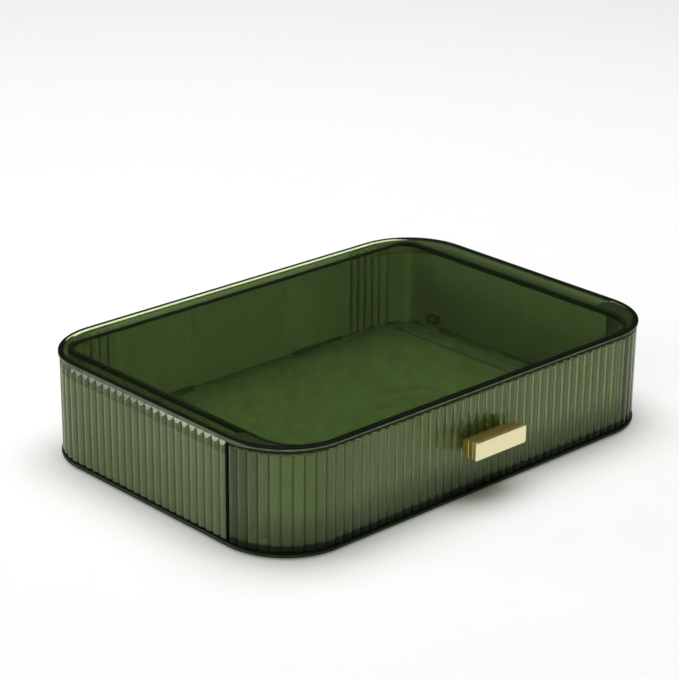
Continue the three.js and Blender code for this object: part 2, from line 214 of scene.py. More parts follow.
def oneReed(name, pitch, sizes, low, high, slope):
    # its top is cut aslant, from the crest back to the valley
    half, depth = pitch / 2, sizes["reedDepth"]
    radius = (half * half + depth * depth) / (2 * depth)
    bpy.ops.object.select_all(action="DESELECT")
    bpy.ops.mesh.primitive_plane_add(size=1 * mm, location=(0, 0, low))
    reed = settle(name)
    pick(reed, "VERT", lambda v: True)
    bpy.ops.mesh.merge(type="CENTER")
    bpy.ops.mesh.select_all(action="SELECT")
    bpy.ops.mesh.spin(
        steps=sizes["reedFlats"],
        angle=2 * math.asin(half / radius),
        center=(half, depth - radius, low),
        axis=(0, 0, 1),
    )
    bpy.ops.mesh.select_all(action="SELECT")
    raiseBy(high - low)
    bpy.ops.mesh.select_all(action="SELECT")
    slant = Vector((0, slope, depth)).normalized()
    bpy.ops.mesh.bisect(plane_co=(0, 0, high), plane_no=slant, clear_outer=True, threshold=sliver)
    done()
    # from the slanted edge a flat top runs back to the inner face, and that runs down
    pick(reed, "EDGE", lambda e: min(at.z for at in ends(reed, e)) > high - slope - nearly)
    moveBy((0, 0, 0))
    bpy.ops.transform.resize(value=(1, 0, 0), center_override=(0, 0, high))
    moveBy((0, -sizes["wall"], 0))
    raiseBy(low - high)
    done()
    pick(reed, "EDGE", lambda e: max(at.z for at in ends(reed, e)) < low + nearly)
    bpy.ops.mesh.bridge_edge_loops()
    bpy.ops.mesh.select_all(action="SELECT")
    bpy.ops.mesh.remove_doubles(threshold=sliver)
    done()
    return reed


def moveBy(way):
    bpy.ops.mesh.extrude_region_move(TRANSFORM_OT_translate={"value": way})


def raiseBy(height):
    moveBy((0, 0, height))


def repeatAlong(reed, count, pitch, path):
    only(reed)
    bpy.ops.object.modifier_add(type="ARRAY")
    row = reed.modifiers[-1]
    row.count = count
    row.use_relative_offset = False
    row.use_constant_offset = True
    row.constant_offset_displace = (pitch, 0, 0)
    row.use_merge_vertices = True
    row.merge_threshold = nearly
    bpy.ops.object.modifier_apply(modifier=row.name)
    bpy.ops.object.modifier_add(type="CURVE")
    bend = reed.modifiers[-1]
    bend.object = path
    bend.deform_axis = "POS_X"
    bpy.ops.object.modifier_apply(modifier=bend.name)
    bpy.data.objects.remove(path, do_unlink=True)


def openLoops(piece, wanted=lambda at: True):
    only(piece)
    bpy.ops.object.mode_set(mode="EDIT")
    bpy.ops.mesh.select_mode(type="EDGE")
    bpy.ops.mesh.select_all(action="DESELECT")
    bpy.ops.mesh.select_non_manifold(extend=False, use_wire=False, use_multi_face=False,
                                     use_non_contiguous=False, use_verts=False)
    done()
    chosen = {e.index for e in piece.data.edges if e.select and wanted(middle(piece, e))}
    pick(piece, "EDGE", lambda e: e.index in chosen)


def closeEnds(piece):
    pickAll(piece)
    bpy.ops.mesh.fill_holes(sides=0)
    done()


# Plan of the walls, from the frame and the shared sizes
valleyHalf = wallHigh.x - caseSizes["reedDepth"]
innerHalf = valleyHalf - caseSizes["wall"]
valleyRadius = caseSizes["cornerRadius"] - caseSizes["edgeSetback"] - caseSizes["reedDepth"]
innerRadius = valleyRadius - caseSizes["wall"]
cornerX = valleyHalf - valleyRadius
rearCornerY = wallHigh.y - caseSizes["reedDepth"] - valleyRadius
frontCornerY = frontLow.y + caseSizes["reedDepth"] + valleyRadius


def arcHandle(turn):
    # how long a curve's handles are for an arc of radius 1
    return 4 / 3 * math.tan(turn / 4)


# Case wall: its back is smooth out to plainHalf on either side
wallSizes = {"plainHalf": cornerX - 17.3 * mm, "endSlope": 2.8 * mm}


def makeCaseWall():
    sizes = wallSizes
    bend = valleyRadius * arcHandle(math.pi / 2)
    backY = rearCornerY + valleyRadius
    start = Vector((sizes["plainHalf"], backY))
    turnIn, turnOut = Vector((cornerX, backY)), Vector((valleyHalf, rearCornerY))
    finish = Vector((valleyHalf, wallLow.y))
    path = planPath("wall_path", [
        (start, start, start.lerp(turnIn, 1 / 3)),
        (start.lerp(turnIn, 2 / 3), turnIn, turnIn + Vector((bend, 0))),
        (turnOut + Vector((0, bend)), turnOut, turnOut.lerp(finish, 1 / 3)),
        (turnOut.lerp(finish, 2 / 3), finish, finish),
    ])
    length = cornerX - sizes["plainHalf"] + valleyRadius * math.pi / 2 + rearCornerY - wallLow.y
    count = round(length / caseSizes["reedPitch"])
    wall = oneReed("case_shell", length / count, caseSizes, wallLow.z, wallHigh.z, sizes["endSlope"])
    repeatAlong(wall, count, length / count, path)
    only(wall)
    bpy.ops.object.modifier_add(type="MIRROR")
    wall.modifiers[-1].use_mirror_merge = False
    bpy.ops.object.modifier_apply(modifier=wall.modifiers[-1].name)
    openLoops(wall, lambda at: at.y > rearCornerY)
    bpy.ops.mesh.bridge_edge_loops()
    done()
    closeEnds(wall)
    smooth(wall)
    return wall


# Drawer front with the webs that close its corners at the top

def makeDrawerFront():
    sizes = {
        "endSlope": 1 * mm,
        "webThickness": 2 * mm,
        "webReach": 3 * mm,
        "webRound": (3 * mm, 8),  # radius, flats
        "webSideGap": 0.6 * mm,
        "trayGap": 0.3 * mm,
        "trayRadius": 26.5 * mm,
        "borePast": (1 * mm, 0.5 * mm),  # before the wall, into the tray
    }
    bend = valleyRadius * arcHandle(math.pi / 2)
    frontY = frontCornerY - valleyRadius
    start, turnIn = Vector((valleyHalf, frontCornerY)), Vector((cornerX, frontY))
    turnOut, finish = Vector((-cornerX, frontY)), Vector((-valleyHalf, frontCornerY))
    path = planPath("front_path", [
        (start, start, start - Vector((0, bend))),
        (turnIn + Vector((bend, 0)), turnIn, turnIn.lerp(turnOut, 1 / 3)),
        (turnIn.lerp(turnOut, 2 / 3), turnOut, turnOut - Vector((bend, 0))),
        (finish - Vector((0, bend)), finish, finish),
    ])
    length = valleyRadius * math.pi + 2 * cornerX
    count = round(length / caseSizes["reedPitch"])
    wall = oneReed("drawer_shell", length / count, caseSizes, frontLow.z, frontHigh.z, sizes["endSlope"])
    repeatAlong(wall, count, length / count, path)
    closeEnds(wall)
    smooth(wall)
    boreForScrews(wall, frontLow.y - sizes["borePast"][0], trayLow.y + sizes["borePast"][1])

    overlap = caseSizes["wall"] / 2
    webLow = frontHigh.z - sizes["webThickness"]
    reach = frontCornerY + sizes["webReach"]
    lipHalf = innerHalf - sizes["webSideGap"]
    web = block("web", (-innerHalf - overlap, frontY - overlap + caseSizes["wall"], webLow),
                (innerHalf + overlap, frontCornerY - overlap / 2, frontHigh.z))
    roundUprights(web, innerRadius + overlap, caseSizes["cornerFlats"],
                  lambda at: at.y < frontCornerY - overlap)
    holeHalf = trayHalf + sizes["trayGap"]
    for side in (-1, 1):
        xs = sorted((side * holeHalf, side * lipHalf))
        lip = block("lip", (xs[0], frontCornerY - 2 * overlap, webLow), (xs[1], reach, frontHigh.z))
        roundUprights(lip, *sizes["webRound"],
                      lambda at: abs(at.x) < lipHalf - overlap and at.y > frontCornerY)
        combine(web, lip, "UNION")
    hole = block("hole", (-holeHalf, trayLow.y - sizes["trayGap"], webLow - overlap),
                 (holeHalf, trayHigh.y, frontHigh.z + overlap))
    roundUprights(hole, sizes["trayRadius"] + sizes["trayGap"], caseSizes["cornerFlats"])
    combine(web, hole, "DIFFERENCE")
    combine(wall, web, "UNION")
    smooth(wall)
    return wall


# Cement line that holds the top plate on the back of the wall; its pale bead also gives the bright band
# along the back rim, a painted highlight

def makeCementHighlight():
    sizes = {
        "width": 1.7 * mm,
        "inset": 0.2 * mm,
        "bead": 3 * mm,
        "gap": 0.02 * mm,
        # the ends stop where the bright band along the back rim stops, further round on the right than on
        # the left
        "leftTurn": math.radians(20),
        "rightTurn": math.radians(40),
    }
    middle = Vector((cornerX, rearCornerY))
    top = middle + Vector((0, valleyRadius))
    left, right = sizes["leftTurn"], sizes["rightTurn"]

    def cornerEnd(turn):
        # the line's end, the way it runs there, and how long the curve's handles are
        tip = middle + valleyRadius * Vector((math.sin(turn), math.cos(turn)))
        return tip, Vector((math.cos(turn), -math.sin(turn))), valleyRadius * arcHandle(turn)

    mirror = Vector((-1, 1))
    leftTip, leftWay, leftHandle = cornerEnd(left)
    rightTip, rightWay, rightHandle = cornerEnd(right)
    leftTop = top * mirror
    path = planPath("cement_highlight_path", [
        (leftTip * mirror, leftTip * mirror, (leftTip - leftWay * leftHandle) * mirror),
        (leftTop - Vector((leftHandle, 0)), leftTop, leftTop.lerp(top, 1 / 3)),
        (leftTop.lerp(top, 2 / 3), top, top + Vector((rightHandle, 0))),
        (rightTip - rightWay * rightHandle, rightTip, rightTip),
    ])
    length = 2 * cornerX + valleyRadius * (left + right)
    count = round(length / sizes["bead"])
    pitch = length / count
    line = block("cement_highlight_line", (0, -sizes["inset"] - sizes["width"], wallHigh.z + sizes["gap"]),
                 (pitch, -sizes["inset"], topLow.z - sizes["gap"]))
    pick(line, "FACE", lambda f: abs(f.normal.x) > 0.9)
    bpy.ops.mesh.delete(type="ONLY_FACE")
    done()
    repeatAlong(line, count, pitch, path)
    closeEnds(line)
    smooth(line)
    return line


# Top plate

def makeTopPlate():
    plate = block("lid_panel", topLow, topHigh)
    roundUprights(plate, caseSizes["cornerRadius"], caseSizes["cornerFlats"])
    roundSharp(plate, *caseSizes["plateEdge"])
    smooth(plate, plateAngle)
    return plate


# Base plate with its runners, guides, stops and the recesses for the feet

baseSizes = {
    "thickness": 2.5 * mm,
    "runner": (3 * mm, 1 * mm),  # width, height
    "runnerInset": 14 * mm,
    "runnerEndGap": 6 * mm,
    "guide": (2 * mm, 5 * mm),
    "guideGap": 0.5 * mm,
    "post": (4 * mm, 16 * mm),
    "postSetback": 2.5 * mm,
    "stop": (40 * mm, 1.5 * mm),  # length, thickness
    "stopMiddle": 60 * mm,
    "stopGap": 0.3 * mm,
    "recess": (6.3 * mm, 1 * mm, 48),  # radius, depth, flats
    "softEdge": (0.3 * mm, 3),
}


def makeBasePlate():
    sizes = baseSizes
    floorTop = baseLow.z + sizes["thickness"]
    root = floorTop - sizes["thickness"] / 2
    plate = block("floor_panel", baseLow, (baseHigh.x, baseHigh.y, floorTop))
    roundUprights(plate, caseSizes["cornerRadius"], caseSizes["cornerFlats"])
    roundSharp(plate, *caseSizes["plateEdge"])

    runnerMiddle = trayHalf - sizes["runnerInset"]
    runnerHalf = sizes["runner"][0] / 2
    guideInner = trayHalf + sizes["guideGap"]
    postStart = wallLow.y + sizes["postSetback"]
    stopStart = trayHigh.y + sizes["stopGap"]
    stopHalf = sizes["stop"][0] / 2
    guideWidth, guideHeight = sizes["guide"]
    postDepth, postHeight = sizes["post"]
    ribs = {
        "runner": ((runnerMiddle - runnerHalf, trayLow.y + sizes["runnerEndGap"]),
                   (runnerMiddle + runnerHalf, trayHigh.y - sizes["runnerEndGap"]), sizes["runner"][1]),
        "guide": ((guideInner, postStart), (guideInner + guideWidth, rearCornerY), guideHeight),
        "post": ((guideInner, postStart),
                 (innerHalf - sizes["guideGap"], postStart + postDepth), postHeight),
        "rear_stop": ((sizes["stopMiddle"] - stopHalf, stopStart),
                      (sizes["stopMiddle"] + stopHalf, stopStart + sizes["stop"][1]), guideHeight),
    }
    for name, (near, far, height) in ribs.items():
        for side in (-1, 1):
            xs = sorted((side * near[0], side * far[0]))
            rib = block(name, (xs[0], near[1], root), (xs[1], far[1], floorTop + height))
            roundSharp(rib, *sizes["softEdge"], wanted=lambda at: at.z > floorTop)
            combine(plate, rib, "UNION")
    for node in footNodes:
        low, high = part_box(node)
        middleX, middleY = (low.x + high.x) / 2, (low.y + high.y) / 2
        radius, depth, flats = sizes["recess"]
        hole = drum("recess", (middleX, middleY, baseLow.z), radius, 2 * depth, flats)
        combine(plate, hole, "DIFFERENCE")
    smooth(plate, plateAngle)
    return plate


# Tray
traySizes = {
    "wall": 2.6 * mm,
    "floor": 2.2 * mm,
    "radius": 26.5 * mm,
    "rearRadius": 12 * mm,
    "sideGap": 10.2 * mm,
    "rim": (0.5 * mm, 3),  # radius, flats
    "fillet": (1.6 * mm, 5),
    "lug": (8 * mm, 5 * mm),  # length, height
    "lugLow": 9.5 * mm,
    "lugSetback": 20.2 * mm,
    "margin": 1 * mm,
}
trayHalf = innerHalf - traySizes["sideGap"]


def boreForScrews(piece, start, finish):
    for side in (-1, 1):
        middleY = (start + finish) / 2
        place = (side * screwSizes["spacing"] / 2, middleY, screwSizes["height"])
        radius, flats = screwSizes["bore"]
        bore = drum("bore", place, radius, abs(finish - start), flats, axis="Y")
        combine(piece, bore, "DIFFERENCE")


def makeTray():
    sizes = traySizes
    margin, flats = sizes["margin"], caseSizes["cornerFlats"]
    tray = block("drawer_bin", (-trayHalf, trayLow.y, trayLow.z), (trayHalf, trayHigh.y, trayHigh.z))
    roundUprights(tray, sizes["rearRadius"], flats // 2, lambda at: at.y > trayHigh.y - margin)
    roundUprights(tray, sizes["radius"], flats, lambda at: at.y < trayLow.y + margin)
    pick(tray, "FACE", lambda f: f.normal.z > 0.9)
    bpy.ops.mesh.inset(thickness=sizes["wall"], depth=0, use_even_offset=True)
    raiseBy(sizes["floor"] - (trayHigh.z - trayLow.z))
    done()
    roundSharp(tray, *sizes["rim"], wanted=lambda at: at.z > trayHigh.z - margin)
    roundSharp(tray, *sizes["fillet"], wanted=lambda at: at.z < trayLow.z + 2 * sizes["floor"])
    lugEnd = trayHigh.y - sizes["lugSetback"]
    for side in (-1, 1):
        xs = sorted((side * (trayHalf - sizes["wall"] / 2), side * trayHigh.x))
        lug = block("lug", (xs[0], lugEnd - sizes["lug"][0], sizes["lugLow"]),
                    (xs[1], lugEnd, sizes["lugLow"] + sizes["lug"][1]))
        roundSharp(lug, *sizes["rim"])
        combine(tray, lug, "UNION")
    boreForScrews(tray, trayLow.y - margin, trayLow.y + sizes["wall"] + margin)
    smooth(tray, plateAngle)
    return tray


# Handle

barSizes = {
    "face": 2.4 * mm,
    "endStep": 0.5 * mm,
    "topStep": 0.15 * mm,
    "groove": 0.4 * mm,
    "grooveDepth": 0.7 * mm,
    "plates": 2,
    "edge": (0.4 * mm, 3),  # radius, flats
    "faceCorner": 1.2 * mm,
    "plateCorner": 0.9 * mm,
    "cornerFlats": 6,
}


def makeBar():
    # a face plate and two narrower plates behind it, with a groove before each
    sizes = barSizes
    start = barLow.y + sizes["face"]
    step = (barHigh.y - start) / sizes["plates"]

    def inset(name, near, far, endStep, topStep):
        low = Vector((barLow.x + endStep, near, barLow.z + topStep))
        return block(name, low, (barHigh.x - endStep, far, barHigh.z - topStep))

    def barPlate(name, near, far, endStep, topStep, corner):
        plate = inset(name, near, far, endStep, topStep)
        pick(plate, "EDGE", lambda e: abs(ends(plate, e)[0].y - ends(plate, e)[1].y) > nearly)
        bevel(corner, sizes["cornerFlats"])
        roundSharp(plate, *sizes["edge"])
        return plate

    bar = barPlate("pull_bar", barLow.y, start, 0, 0, sizes["faceCorner"])
    neck = inset("neck", start - sizes["groove"], barHigh.y - sizes["groove"],
                 sizes["endStep"] + sizes["grooveDepth"], sizes["topStep"] + sizes["grooveDepth"])
    combine(bar, neck, "UNION")
    for i in range(sizes["plates"]):
        near = start + i * step + sizes["groove"]
        plate = barPlate("plate", near, start + (i + 1) * step,
                         sizes["endStep"], sizes["topStep"], sizes["plateCorner"])
        combine(bar, plate, "UNION")
    smooth(bar)
    return bar


# Materials

class Wire:
    # a node's output; sums and products of wires add Math nodes
    def __init__(self, paint, socket):
        self.paint = paint
        self.socket = socket

    def maths(self, operation, first, second):
        return self.paint.node("ShaderNodeMath", {"operation": operation}, {0: first, 1: second})

    def __add__(self, other):
        return self.maths("ADD", self, other)

    def __sub__(self, other):
        return self.maths("SUBTRACT", self, other)

    def __rsub__(self, other):
        return self.maths("SUBTRACT", other, self)

    def __mul__(self, other):
        return self.maths("MULTIPLY", self, other)

    def __abs__(self):
        return self.maths("ABSOLUTE", self, 0)

    __radd__ = __add__
    __rmul__ = __mul__


class Paint:
    # one material; node() adds a node, its settings first and then its values or links
    def __init__(self, name):
        self.material = bpy.data.materials.new(name)
        self.material.use_nodes = True
        self.tree = self.material.node_tree
        self.tree.nodes.clear()
        self.places = self.node("ShaderNodeTexCoord", output="Object")

    def node(self, kind, settings=None, values=None, output=0):
        added = self.tree.nodes.new(kind)
        for key, setting in (settings or {}).items():
            setattr(added, key, setting)
        for key, value in (values or {}).items():
            if isinstance(value, Wire):
                self.tree.links.new(value.socket, added.inputs[key])
            else:
                added.inputs[key].default_value = value
        return Wire(self, added.outputs[output] if len(added.outputs) else None)

    def noise(self, scale, detail=2.0, stretch=(1, 1, 1)):
        places = self.node("ShaderNodeMapping", None, {"Vector": self.places, "Scale": stretch})
        return self.node("ShaderNodeTexNoise", None, {"Vector": places, "Scale": scale, "Detail": detail})

    def along(self, axis):
        return self.node("ShaderNodeSeparateXYZ", None, {"Vector": self.places}, output="XYZ".index(axis))

    def ramp(self, value, band):
        # 0 at the band's start, 1 at its end, with soft shoulders
        return self.node("ShaderNodeMapRange", {"interpolation_type": "SMOOTHSTEP"},
                         {"Value": value, "From Min": band[0], "From Max": band[1]})

    def blend(self, factor, first, second):
        first, second = [c if isinstance(c, Wire) else (*c, 1) for c in (first, second)]
        return self.node("ShaderNodeMix", {"data_type": "RGBA"},
                         {"Factor": factor, 6: first, 7: second}, output=2)

    def bump(self, height, strength, distance):
        return self.node("ShaderNodeBump", None,
                         {"Height": height, "Strength": strength, "Distance": distance})

    def finish(self, surface, volume=None):
        values = {"Surface": surface}
        if volume:
            values["Volume"] = volume
        self.node("ShaderNodeOutputMaterial", None, values)
        return self.material


def insideOutline(paint, low, high, radius):
    # how far in from a rounded outline, seen from above
    middle, half = (low + high) / 2, (high - low) / 2
    x = abs(paint.along("X") - middle.x) - (half.x - radius)
    y = abs(paint.along("Y") - middle.y) - (half.y - radius)
    pastX, pastY = x.maths("MAXIMUM", x, 0), x.maths("MAXIMUM", y, 0)
    corner = x.maths("SQRT", pastX * pastX + pastY * pastY, 0)
    return radius - corner - x.maths("MINIMUM", x.maths("MAXIMUM", x, y), 0)


def outlineDepth(paint):
    return insideOutline(paint, topLow, topHigh, caseSizes["cornerRadius"])


def pastValleys(paint):
    return outlineDepth(paint) - caseSizes["edgeSetback"] - caseSizes["reedDepth"]


def most(first, *others):
    for other in others:
        first = first.maths("MAXIMUM", first, other)
    return first


faceBands = {"inside": (1 * mm, 1.8 * mm), "outside": (0.8 * mm, 0.2 * mm)}  # past the valleys


# Each of these gives where a piece's plastic is painted over as opaque shade (painted shade), and where
# that painted shade is pale.
# A band is where its mask is 0 and where it is 1.

def plateEdge(paint, look):
    # painted shade: black along a plate's rounded edges, with a paler, streaky stripe between them that
    # is a painted reflection
    bands = {"back": (12 * mm, 5 * mm), "side": (3 * mm, 0.5 * mm)}
    sizes = {"softness": 0.3 * mm, "sideFade": 0.4, "leastPale": 0.2}
    atBack = paint.ramp(topHigh.y - paint.along("Y"), bands["back"])
    atSide = paint.ramp(topHigh.x - abs(paint.along("X")), bands["side"])
    width = look["edgeWidth"] - look["backNarrower"] * atBack
    rim = paint.ramp(outlineDepth(paint), (width, width * 0.5))
    past = abs(paint.along("Z") - look["edgeMiddle"]) - look["sideStripe"] * atSide
    stripe = paint.ramp(past, (look["stripe"] + sizes["softness"], look["stripe"]))
    streaks = paint.noise(look["streakScale"], 2.0, look["streakStretch"])
    return rim, stripe * (sizes["leastPale"] + streaks * (1 - sizes["sideFade"] * atSide))


def wallEnds(paint, look):
    # painted shade on the wall's upright ends at the seams, its foot, its top, its inner faces and the
    # rear slanted tops
    bands = {
        "seam": (look["edgeWidth"], look["edgeWidth"] / 2),
        "foot": (look["foot"], 0),
        "topFace": (0.25 * mm, 0.05 * mm),
        "behindReeds": (-0.1 * mm, 0.1 * mm),
        "beside": (22 * mm, 32 * mm),
        "corner": (-2 * mm, 6 * mm),
        "lip": (2.6 * mm, 2 * mm),
        "underRim": (7 * mm, 9 * mm),
        "aboveRim": (7 * mm, 0),
        "lower": (15 * mm, 40 * mm),
        "lineTop": (0.6 * mm, 1.1 * mm),
        "lineFoot": (2.4 * mm, 1.9 * mm),
        "underLip": (2.6 * mm, 3.2 * mm),
        "rear": (-15 * mm, 25 * mm),
        "slant": (3.4 * mm, 2.4 * mm),
    }
    shares = {"lip": 0.8, "rim": 0.22, "rimRise": 0.36, "lowerFade": 0.25, "back": 0.56, "leastBack": 0.2,
              "topFade": 0.85, "slantPale": 0.25}
    x, y = abs(paint.along("X")), paint.along("Y")
    below = wallHigh.z - paint.along("Z")
    past = pastValleys(paint)
    inside = paint.ramp(past, faceBands["inside"])
    corner = paint.ramp(x - cornerX, bands["corner"])
    topFace = paint.ramp(below, bands["topFace"]) * paint.ramp(past, bands["behindReeds"])
    beside = look["backShade"] + (1 - look["backShade"]) * paint.ramp(x - cornerX, bands["beside"])
    lip = shares["lip"] * inside * paint.ramp(below, bands["lip"])
    shade = most(inside * beside, lip, topFace * corner) * look["innerShade"]

    # painted shade on the inner faces: lighter near the top, darker lower down
    aboveRim = shares["rim"] + shares["rimRise"] * paint.ramp(below, bands["aboveRim"])
    besidePale = most(paint.ramp(below, bands["underRim"]), aboveRim)
    besidePale = besidePale * (1 - shares["lowerFade"] * paint.ramp(below, bands["lower"]))
    # a painted highlight line along the top of the back wall's inner face, between darker bands
    line = paint.ramp(below, bands["lineTop"]) * paint.ramp(below, bands["lineFoot"])
    backPale = most(line, shares["back"] * paint.ramp(below, bands["underLip"]), shares["leastBack"])
    pale = shade * (corner * besidePale + (1 - corner) * backPale) * (1 - shares["topFade"] * topFace)

    seam = paint.ramp(y - wallLow.y, bands["seam"])
    foot = paint.ramp(paint.along("Z") - wallLow.z, bands["foot"])
    # the slanted reed tops in the rear half get painted shade
    slant = paint.ramp(below, bands["slant"]) * paint.ramp(past, faceBands["outside"])
    rearSlant = slant * paint.ramp(y, bands["rear"]) * corner
    paintedShade = most(shade, seam, foot, look["underShade"] * rearSlant)
    return paintedShade, most(pale, shares["slantPale"] * rearSlant)


def frontEnds(paint, look):
    # painted shade on the drawer front's upright ends, its foot, its webs and its inner faces near the
    # seams, and over its lower part, darker towards the bottom
    bands = {
        "seam": (look["edgeWidth"], look["edgeWidth"] / 2),
        "outer": (-0.5 * mm, 0),
        "foot": (look["foot"], look["foot"] / 2),
        "lowShade": (26 * mm, 4 * mm),
        "beside": (22 * mm, 8 * mm),
        "web": (2.4 * mm, 2.2 * mm),
    }
    shares = {"foot": 0.9, "lowShade": 0.33, "lowShadePale": 0.5, "webFade": 0.7}
    fromSeam = frontCornerY - paint.along("Y")
    above = paint.along("Z") - frontLow.z
    inside = paint.ramp(pastValleys(paint), faceBands["inside"])
    outer = paint.ramp(abs(paint.along("X")) - innerHalf, bands["outer"])
    seam = paint.ramp(fromSeam, bands["seam"]) * outer
    foot = paint.ramp(above, bands["foot"])
    # painted shade over the lower part of the front, darker towards the bottom
    lowShade = paint.ramp(above, bands["lowShade"])
    web = paint.ramp(frontHigh.z - paint.along("Z"), bands["web"]) * inside
    shade = most(inside * paint.ramp(fromSeam, bands["beside"]) * look["innerShade"], web)
    pale = most(shade * (1 - shares["webFade"] * web), shares["lowShadePale"] * lowShade) * (1 - foot)
    return most(shade, seam, shares["foot"] * foot, shares["lowShade"] * lowShade), pale


def trayRim(paint, look):
    # a painted dark line (painted shade) along the tray's rim, deeper along the sides than along the back
    bands = {"side": (-14 * mm, -4 * mm), "rim": (1.6 * mm, 1 * mm)}
    deeper = 1.2 * mm
    atSide = paint.ramp(abs(paint.along("X")) - trayHalf, bands["side"])
    below = trayHigh.z - paint.along("Z") - deeper * atSide
    return paint.ramp(below, bands["rim"]), None


def reedValleys(paint, look):
    # painted shade: 1 in the valleys between the reeds, 0 on their crests, on the smooth back and inside;
    # the slanted tops and the part near the seam get painted shade too
    bands = {
        "valley": (-look["valleyWidth"], 0),
        "reeded": (-0.5 * mm, 0),
        "slant": (2.8 * mm, 2 * mm),
        "seam": (16 * mm, 0),
        "back": (12 * mm, 28 * mm),
    }
    backFade = 0.45
    past, y = pastValleys(paint), paint.along("Y")
    atBack = paint.ramp(y - rearCornerY, bands["back"])
    valley = paint.ramp(past, bands["valley"]) * (1 - backFade * atBack)
    slant = look["slantShade"] * paint.ramp(wallHigh.z - paint.along("Z"), bands["slant"])
    nearSeam = look["seamShade"] * paint.ramp(abs(y - frontCornerY), bands["seam"])
    reeded = paint.ramp(abs(paint.along("X")) - look["plainHalf"], bands["reeded"])
    return most(valley, slant, nearSeam) * paint.ramp(past, faceBands["outside"]) * reeded


def clearPlastic(name, look, edges):
    paint = Paint(name)
    ripple = paint.noise(look["rippleScale"], 1.0)
    haze = paint.noise(look["hazeScale"], 5.0)
    streak = paint.noise(look["streakScale"], 3.0, look["streakStretch"])
    tone = paint.node("ShaderNodeMapRange", None, {
        "Value": streak, "From Min": look["streakBand"][0], "From Max": look["streakBand"][1],
    })
    colour = paint.blend(tone, look["deep"], look["tint"])
    # the valleys, slanted tops and the ends near the seam are painted darker: painted shade
    if "valley" in look:
        colour = paint.blend(reedValleys(paint, look), colour, look["valley"])
    glass = paint.node("ShaderNodeBsdfPrincipled", None, {
        "Base Color": colour,
        "Roughness": haze * look["haze"],
        "IOR": look["ior"],
        "Transmission Weight": look["clear"],
        "Specular Tint": (*look["reflect"], 1),
        "Normal": paint.bump(ripple, look["ripple"], look["rippleHeight"]),
    })
    paintedShade, pale = edges(paint, look)
    edge = paint.blend(pale, look["edge"], look["pale"]) if pale else (*look["edge"], 1)
    # opaque painted shade: near-black, blended towards the pale painted-shade colour where the mask says
    deep = paint.node("ShaderNodeBsdfPrincipled", None, {
        "Base Color": edge,
        "Roughness": look["edgeRoughness"],
        "Specular IOR Level": look["edgeGloss"],
    })
    glass = paint.node("ShaderNodeMixShader", None, {0: paintedShade, 1: glass, 2: deep})
    window = paint.node("ShaderNodeBsdfTransparent", None, {"Color": (*look["shadow"], 1)})
    lamp = paint.node("ShaderNodeLightPath", output="Is Shadow Ray")
    surface = paint.node("ShaderNodeMixShader", None, {0: lamp, 1: glass, 2: window})
    volume = paint.node("ShaderNodeVolumeAbsorption", None,
                        {"Color": (*look["depthTint"], 1), "Density": look["density"]})
    return paint.finish(surface, volume)


def polishedMetal(name, look):
    paint = Paint(name)
    wear = paint.noise(look["wearScale"], 4.0)
    grain = paint.noise(look["grainScale"], 2.0, look["grainStretch"])
    colour = paint.blend(wear, look["colour"], look["dull"])
    # the top, ends and neck behind the face plate are painted a darker, browner gold: painted shade
    if "side" in look:
        face = barSizes["face"]
        behind = paint.ramp(paint.along("Y") - barLow.y, (face - look["sideBlur"], face))
        colour = paint.blend(behind, colour, look["side"])
    metal = paint.node("ShaderNodeBsdfPrincipled", None, {
        "Base Color": colour,
        "Metallic": look["metallic"],
        "Roughness": look["roughness"] + wear * look["wear"],
        "Normal": paint.bump(grain, look["grain"], look["grainHeight"]),
    })
    return paint.finish(metal)


def satinSkin(name, look):
    paint = Paint(name)
    cloud = paint.noise(look["cloudScale"], look["detail"])
    skin = paint.node("ShaderNodeBsdfPrincipled", None, {
        "Base Color": paint.blend(cloud, look["pale"], look["deep"]),
        "Roughness": look["roughness"] + cloud * look["mottle"],
        "Normal": paint.bump(cloud, look["relief"], look["reliefHeight"]),
    })
    return paint.finish(skin)


plasticLook = {
    "tint": (0.66, 0.80, 0.40),
    "deep": (0.52, 0.66, 0.28),
    "streakScale": 150.0,
    "streakStretch": (1, 1, 0.03),
    "streakBand": (0.35, 0.65),
    "clear": 1.0,
    "reflect": (0.86, 1.0, 0.58),
    "shadow": (0.95, 0.96, 0.93),
    "depthTint": (0.50, 0.54, 0.42),
    # near-black colour of the painted shade on edges, seams, feet and rims
    "edge": (0.005, 0.008, 0.004),
    "edgeWidth": 1.3 * mm,
    "backNarrower": 0.0,
    "stripe": 0.3 * mm,
    "sideStripe": 0.6 * mm,
    "edgeRoughness": 0.3,
    "edgeGloss": 0.04,
    "ior": 1.49,
    "haze": 0.015,
    "hazeScale": 90.0,
    "ripple": 0.02,
    "rippleScale": 14.0,
    "rippleHeight": 0.3 * mm,
}
reededLook = {
    **plasticLook,
    "clear": 0.92,
    "valleyWidth": 0.7 * mm,
    "slantShade": 0.0,
    "seamShade": 0.0,
    "plainHalf": 0.0,
    "innerShade": 0.92,
    "streakScale": 30.0,
    "streakStretch": (1, 1, 0.15),
}
casePlastic = clearPlastic("case_plastic", {
    **reededLook,
    "density": 420.0,
    # pale painted shade on the inner faces, and the darker painted shade in the reed valleys
    "pale": (0.48, 0.53, 0.41),
    "valley": (0.18, 0.24, 0.10),
    "plainHalf": wallSizes["plainHalf"],
    "slantShade": 0.85,
    "backShade": 0.6,
    "underShade": 0.6,
    "foot": 1.3 * mm,
}, wallEnds)
basePlastic = clearPlastic("base_plastic", {
    **plasticLook,
    "density": 300.0,
    # colour of the painted reflection stripe along the edge
    "pale": (0.06, 0.07, 0.05),
    "edgeWidth": 5 * mm,
    "edgeMiddle": baseLow.z + baseSizes["thickness"] / 2,
}, plateEdge)
